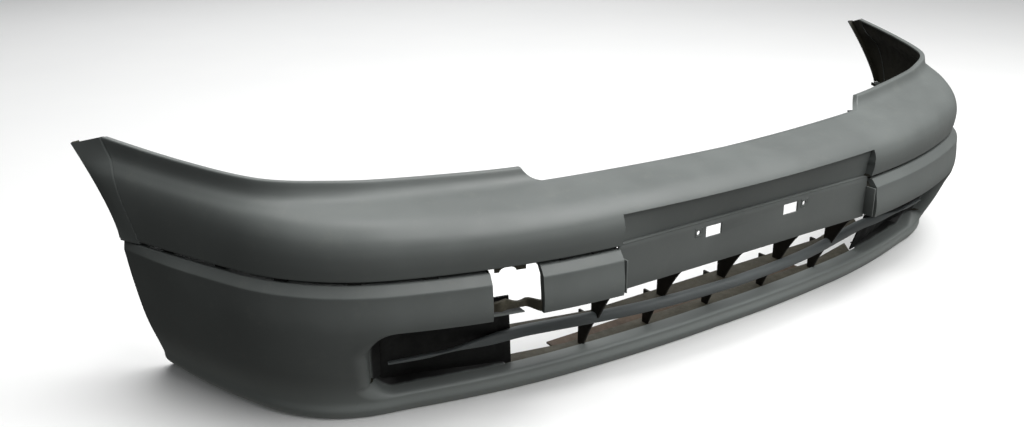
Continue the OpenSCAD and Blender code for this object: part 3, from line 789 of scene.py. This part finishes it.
ROLL_STEPS = 8
ROLL_FROM = 586
ROLL_OUTER_W, ROLL_OUTER_D, ROLL_REACH, BAND_REACH = 22.0, 20.0, 26, 15


def toward_opening(s, part):
    """Unit direction along the skin, in station and height, from the opening's edge into it."""
    if part == "end":
        return -1.0, 0.0
    u = min(max((abs(s) - WELL_ROUND) / (WELL_END - WELL_ROUND), 0), 1)
    half = BAND_Z - WELL_TOP_END if part == "band" else WELL_FOOT_END - LIP_Z
    ds, dz = u / (WELL_END - WELL_ROUND), math.sqrt(1 - u * u) / half
    size = math.hypot(ds, dz)
    return -ds / size, (-dz if part == "band" else dz) / size


def roll_sizes(s, part):
    """Width and depth of the rolled edge, and how far it runs inwards in all."""
    outer = float(smooth(abs(s), ROLL_FROM, WELL_END - 3))
    width = mix(4.5 if part == "lip" else 1.2, ROLL_OUTER_W, outer)
    depth = mix(7.0 if part == "lip" else 2.0, ROLL_OUTER_D, outer)
    reach = mix(LIP_TOP_W if part == "lip" else BAND_REACH, ROLL_REACH, outer)
    return width, depth, reach


def roll_section(s, z, part):
    """Points of the rolled edge, as stations, depths and heights."""
    ds, dz = toward_opening(s, part)
    width, depth, reach = roll_sizes(s, part)
    skin = float(lower_depth(s, z))
    angle = np.linspace(0, math.pi / 2, ROLL_STEPS + 1)
    across = np.concatenate([width * np.sin(angle), np.full(3, width)])
    inward = np.concatenate([depth * (1 - np.cos(angle)), np.linspace(depth, reach, 4)[1:]])
    return abs(s) + across * ds, skin + inward, z + across * dz


def opening_path(stations):
    """Edge of the lower opening: along the band, round the outer end and back along the lip."""
    end_z = np.linspace(WELL_TOP_END, WELL_FOOT_END, GAP_ROWS + 2)[1:-1]
    path = [(s, float(well_top(s)), "band") for s in stations if s >= BAND_END]
    path += [(WELL_END, z, "end") for z in end_z]
    path += [(s, float(well_foot(s)), "lip") for s in stations[::-1]]
    return path


def add_opening_roll(verts, faces, stations, sign):
    """Rolls the edge of the lower opening inwards."""
    path = opening_path(stations)
    sections = [roll_section(*p) for p in path]
    roll = np.array([at(sign * s, d, z) for s, d, z in sections])
    middle = [(a[0] + b[0]) / 2 for a, b in zip(path[:-1], path[1:])]
    hidden = [p[2] == "band" and sign < 0 and TOW[0] < m < TOW[1] for p, m in zip(path, middle)]
    add_grid(verts, faces, roll, lambda i, j: not hidden[i], flip=sign > 0)


def add_band_ends(verts, faces, stations, grid, band_first):
    """Return walls where the band stops at the plate panel and at the towing-eye opening."""
    for s, faces_left in ((-BAND_END, False), (BAND_END, True), (-TOW[0], True), (-TOW[1], False)):
        i = int(np.argmin(np.abs(stations - s)))
        border = grid[i, band_first:-3]
        _, _, turn = plan(np.array([abs(s)]))
        inward = np.array([-np.sign(s) * math.sin(turn[0]), math.cos(turn[0]), 0])
        wall = np.array([border + reach * MM * inward for reach in (0, 1, 4, 8, 12)])
        add_grid(verts, faces, wall, flip=faces_left)


# ---------------------------------------------------------------- plate panel


def make_panel():
    """Flat panel with two slots and two round holes, a turned-back foot and cheeks."""
    half = PANEL_W / 2
    patch_x = (HOLE_X - HOLE_PATCH, HOLE_X + HOLE_PATCH)
    patch_z = (HOLE_Z - HOLE_PATCH, HOLE_Z + HOLE_PATCH)
    xs = sorted({
        -half, half, 0, *[side * v for side in (-1, 1) for v in (*SLOT_X, *patch_x, HOLE_X, RIB_X)]
    })
    zs = [PANEL_Z, 175, SLOT_Z[0], patch_z[0], HOLE_Z, SLOT_Z[1], patch_z[1], GROOVE_Z - 1]
    verts, faces = [], []
    corner = {}

    def vertex(x, z):
        key = (round(x, 3), round(z, 3))
        if key not in corner:
            corner[key] = len(verts)
            verts.append((x * MM, PANEL_Y, z * MM))
        return corner[key]

    for x0, x1 in zip(xs[:-1], xs[1:]):
        for z0, z1 in zip(zs[:-1], zs[1:]):
            x, z = abs(x0 + x1) / 2, (z0 + z1) / 2
            is_slot = SLOT_X[0] < x < SLOT_X[1] and SLOT_Z[0] < z < SLOT_Z[1]
            is_patch = patch_x[0] < x < patch_x[1] and patch_z[0] < z < patch_z[1]
            if not is_slot and not is_patch:
                faces.append([vertex(x0, z0), vertex(x1, z0), vertex(x1, z1), vertex(x0, z1)])
    for side in (-1, 1):
        add_round_hole(verts, faces, vertex, side * HOLE_X, HOLE_Z, HOLE_R, HOLE_PATCH)
    piece = new_piece("panel_face", verts, faces, thick=PANEL_T * MM, bevel=0.0009, even=True)
    finish_piece(piece, panel_look, "primed_panel", "plate_panel")

    def block(x0, x1, y0, y1, z0, z1):
        prism(verts, faces, [(x0, y0), (x1, y0), (x1, y1), (x0, y1)], z0, z1)

    verts, faces = [], []
    wide = half + LEDGE_OVER
    block(-half, half, PANEL_T, 17, PANEL_Z, PANEL_Z + 3)
    block(-wide, wide, 0, LEDGE_W, GROOVE_Z - 1, GROOVE_Z + 1.5)
    block(-half + 6, half - 6, PANEL_T, 15, RIB_Z, RIB_Z + 2)
    for side in (-1, 1):
        x = side * RIB_X
        block(x - 1, x + 1, PANEL_T, 15, PANEL_Z + 3, RIB_Z)
        a, b = sorted((side * half, side * (half - 2.5)))
        block(a, b, 0.5 - PANEL_CHEEK, 0, PANEL_Z + 5, CHAMFER_Z - 1)
    ribs = new_piece("panel_ribs", verts, faces, bevel=0.0006)
    finish_piece(ribs, panel_look, "primed_panel")


def add_round_hole(verts, faces, vertex, x, z, radius, half):
    """Square patch with a round hole in it."""
    count = 24
    ring = []
    for k in range(count):
        a = 2 * math.pi * k / count
        ring.append(len(verts))
        verts.append(((x + radius * math.cos(a)) * MM, PANEL_Y, (z + radius * math.sin(a)) * MM))
    outer = []
    for k in range(count):
        a = 2 * math.pi * k / count
        stretch = half / max(abs(math.cos(a)), abs(math.sin(a)))
        outer.append(vertex(x + stretch * math.cos(a), z + stretch * math.sin(a)))
    for k in range(count):
        n = (k + 1) % count
        faces.append([ring[k], outer[k], outer[n], ring[n]])


# ---------------------------------------------------------------- lower grille


def make_bar():
    stations = both(np.concatenate([np.linspace(0, 380, 60), np.linspace(386, 600, 40)]))
    sides = 20
    rings = []
    for s in stations:
        h, w = float(eased(BAR_HALF_H, abs(s))), float(eased(BAR_HALF_W, abs(s)))
        d = float(eased(BAR_DEPTH, abs(s)))
        a = np.linspace(0, 2 * math.pi, sides, endpoint=False)
        cos, sin = np.cos(a), np.sin(a)
        fat_cos = np.sign(cos) * np.abs(cos) ** 0.85
        fat_sin = np.sign(sin) * np.abs(sin) ** 0.85
        rings.append(at(s, d + w - w * fat_cos, BAR_Z + h * fat_sin))
    verts = [tuple(p) for ring in rings for p in ring]
    faces = []
    for i in range(len(rings) - 1):
        for k in range(sides):
            n = (k + 1) % sides
            faces.append([i * sides + k, (i + 1) * sides + k, (i + 1) * sides + n, i * sides + n])
    faces.append(list(range(sides)))
    faces.append([(len(rings) - 1) * sides + k for k in range(sides - 1, -1, -1)])
    piece = new_piece("bar", verts, faces)
    finish_piece(piece, bar_look, "primed_bar", "grille_bar")


def make_shelves():
    stations = both(np.linspace(0, 390, 40))
    back = eased(BAR_DEPTH, np.abs(stations)) + 2 * eased(BAR_HALF_W, np.abs(stations)) - 0.4
    front = at(stations, back, 0)[:, :2] / MM - [0, PANEL_Y / MM]
    outline = [tuple(p) for p in front] + BAR_SHELF_BACK
    verts, faces = [], []
    prism(verts, faces, outline, BAR_Z - 1.5, BAR_Z + 1.5)
    piece = new_piece("bar_shelf_plate", verts, faces, bevel=0.0007)
    finish_piece(piece, shelf_look, "bare_shelf", "bar_shelf")

    lip_back = np.array([float(lower_depth(s, LIP_Z)) for s in stations]) + LIP_TOP_W - 1.5
    front = at(stations, lip_back, 0)[:, :2] / MM - [0, PANEL_Y / MM]
    outline = [tuple(p) for p in front] + LIP_SHELF_BACK
    verts, faces = [], []
    prism(verts, faces, outline, LIP_Z - 2, LIP_Z + 1)
    piece = new_piece("lip_shelf_plate", verts, faces, bevel=0.0007)
    finish_piece(piece, shelf_look, "bare_shelf", "lip_shelf")


def make_fins():
    def rows(name, node, top_front, foot_front, top, foot, rear):
        verts, faces = [], []
        for i in range(-2, 3):
            x = i * FIN_PITCH
            front = [
                (mix(top_front, foot_front, u ** 0.72), mix(top, foot, u)) for u in np.linspace(0, 1, 9)
            ]
            outline = front + [(rear, foot), (rear, top)]
            prism(verts, faces, outline, x - FIN_T / 2, x + FIN_T / 2, axis="x")
        piece = new_piece(name, verts, faces, bevel=0.0008)
        finish_piece(piece, fin_look, "dark_fins", node)

    rows("fins_above_bar", "upper_grille_fins", 5, 50, PANEL_Z, BAR_Z + 1.5, 66)
    rows("fins_below_bar", "lower_grille_fins", 52, 84, BAR_Z - 1.5, LIP_Z + 1, 96)


# ---------------------------------------------------------------- lamp wells


def well_depth(s, z):
    back = mix(WELL_BACK_FOOT, WELL_BACK_TOP, (z - LIP_Z) / (BAND_Z - LIP_Z))
    return back * mix(1, WELL_BACK_OUTER, smooth(s, 560, WELL_END))


def well_first(z):
    """Station of the well's inner end, which leans outwards towards the top."""
    return mix(WELL_FIRST, WELL_START + 4, (z - LIP_Z) / (BAND_Z - LIP_Z))


def make_well(side):
    """Dark liner from the rolled edge of the skin to the blanking plate."""
    straight = np.linspace(WELL_START, WELL_ROUND, 24)
    curved = WELL_ROUND + (WELL_END - WELL_ROUND) * ROUND_STEPS[1:]
    path = opening_path(np.concatenate([straight, curved]))
    centre_z = (BAND_Z + LIP_Z) / 2
    columns, fades = [], []
    for s, z, part in path:
        st, d, h = (v[-1] for v in roll_section(s, z, part))
        outer = float(smooth(s, 540, WELL_END))
        back = max(float(well_depth(s, z)), d + 10)
        column = []
        for u in np.linspace(0, 1, 8):
            here = max(st - outer * 16 * u, well_first(h))
            lean = 0.14 * u * (1 - 0.5 * outer)
            column.append(at(here, mix(d - 0.5, back, u), mix(h, centre_z, lean)))
            fades.append(u)
        columns.append(column)
    verts, faces = [], []
    add_grid(verts, faces, np.array(columns), flip=True)
    piece = new_piece("well_" + side, verts, faces, weld=1e-7, thick=1.6 * MM, mirror=side == "left")
    depth = piece.data.attributes.new("depth", "FLOAT", "POINT")
    depth.data.foreach_set("value", np.array(fades, np.float32)[: len(piece.data.vertices)])
    finish_piece(piece, well_look, "dark_well", "fog_pocket_" + side)


def make_blank(side):
    """Leaning blanking plate with a raised field."""
    stations = np.linspace(WELL_FIRST, 634, 60)
    shares = np.linspace(0, 1, 26)
    columns = []
    for s in stations:
        column = []
        for share in shares:
            z = mix(float(well_foot(s)) + 3, float(well_top(s)) - 3, share)
            field = float(smooth(share, 0.08, 0.16) * (1 - smooth(share, 0.84, 0.92)))
            field *= float(smooth(s, 424, 432) * (1 - smooth(s, 606, 618)))
            back = max(float(well_depth(s, z)), float(lower_depth(s, z)) + 13)
            column.append(at(max(s, well_first(z)), back - 3.0 * field, z))
        columns.append(column)
    verts, faces = [], []
    add_grid(verts, faces, np.array(columns))
    piece = new_piece("blank_" + side, verts, faces, thick=2.4 * MM, mirror=side == "left")
    finish_piece(piece, blank_look, "black_blank", "fog_blank_" + side)


# ---------------------------------------------------------------- towing-eye opening


def sill_depth(s):
    """Depth of the sill: it turns inwards from the band's end and bulges forward once."""
    inward = mix(-9, 14, float(smooth(s, TOW[0], TOW[0] + 16)))
    return inward - 5 * math.exp(-(((s - SILL_CREST - 4) / 8) ** 2))


def make_tow_frame():
    """Wavy sill behind the towing-eye hole, and the arched bridge under the groove."""
    verts, faces = [], []
    sill = []
    for s in np.linspace(TOW[0] + 1, TOW[1] - 4, 60):
        d = sill_depth(s)
        top = BAND_Z + 12 + SILL_RISE * math.cos((s - SILL_CREST) / SILL_WAVE * 2 * math.pi)
        column = [at(-s, d, z) for z in np.linspace(BAND_Z + 0.5, top, 6)]
        column.append(at(-s, d + 5, top + 0.5))
        sill.append(column)
    add_grid(verts, faces, np.array(sill), flip=True)
    bridge = []
    for u in np.linspace(0, 1, 70):
        s = mix(TOW[1] - 9, TOW[0] + 17, u)
        arch = max(0.0, 1 - ((u - 0.42) / 0.27) ** 2) ** 0.5
        low, high = mix(GROOVE_Z - BRIDGE_DROP, GROOVE_Z - 1, arch), GROOVE_Z + 3
        bridge.append([at(-s, BRIDGE_D, z) for z in (low, (low + high) / 2, high)])
    add_grid(verts, faces, np.array(bridge))
    piece = new_piece("tow_eye_walls", verts, faces, thick=2.2 * MM)
    finish_piece(piece, shelf_look, "bare_shelf", "tow_eye_frame")


# ---------------------------------------------------------------- pieces that keep their CAD shape


def dress(node, material):
    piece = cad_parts[node]
    piece.data.materials.clear()
    piece.data.materials.append(material)
    for poly in piece.data.polygons:
        poly.material_index = 0


def make_floor():
    size = 30
    verts = [(-size, -size, 0), (size, -size, 0), (size, size, 0), (-size, size, 0)]
    floor = new_piece("floor", verts, [[0, 1, 2, 3]])
    floor.location.z = -0.0006
    look = Look("pale_floor")
    tint = look.blend(look.noise(3, 2), (0.93, 0.93, 0.93), (0.96, 0.96, 0.955))
    floor.data.materials.append(look.set(Base_Color=tint, Roughness=0.85))
    floor.visible_diffuse = False
    floor.visible_glossy = False


make_upper()
make_lower()
for side in ("left", "right"):
    make_arch_lip(side)
    make_well(side)
    make_blank(side)
make_panel()
make_bar()
make_shelves()
make_fins()
make_tow_frame()
dress("lower_tray", tray_look)
for side in ("left", "right"):
    dress("wing_bracket_" + side, steel_look)
    dress("top_mount_" + side, steel_look)
dress("bracket_rivets", fastener_look)
dress("blank_screws", fastener_look)
dress("tray_screws", fastener_look)
dress("joint_clips", clip_look)
dress("panel_clips", clip_look)
make_floor()

bpy.context.view_layer.update()
